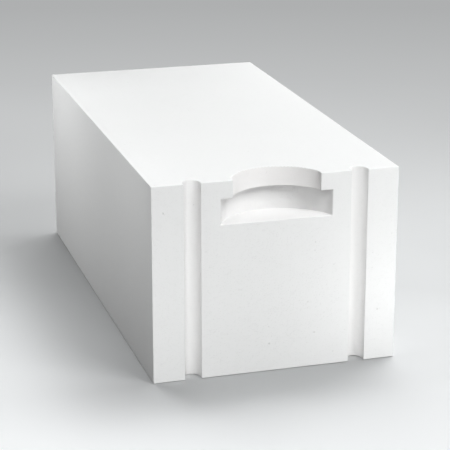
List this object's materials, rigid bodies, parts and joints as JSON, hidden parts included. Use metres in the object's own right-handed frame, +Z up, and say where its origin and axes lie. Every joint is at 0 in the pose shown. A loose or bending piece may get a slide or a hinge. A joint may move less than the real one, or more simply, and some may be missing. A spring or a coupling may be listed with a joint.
{
  "type": "aerated concrete block",
  "caption": "Rectangular aerated concrete wall block with round-bottomed mortar grooves down an end face and an undercut hand grip at its top edge.",
  "frame": {"origin": "centre of the bottom bed face", "axes": "+X across the wall, +Y along the block from the grip end to the plain end, +Z up"},
  "size_m": [0.3, 0.59, 0.24],
  "materials": {
    "aerated_concrete": "matte"
  },
  "bodies": {
    "root": {"block": "aerated_concrete"}
  },
  "joints": []
}
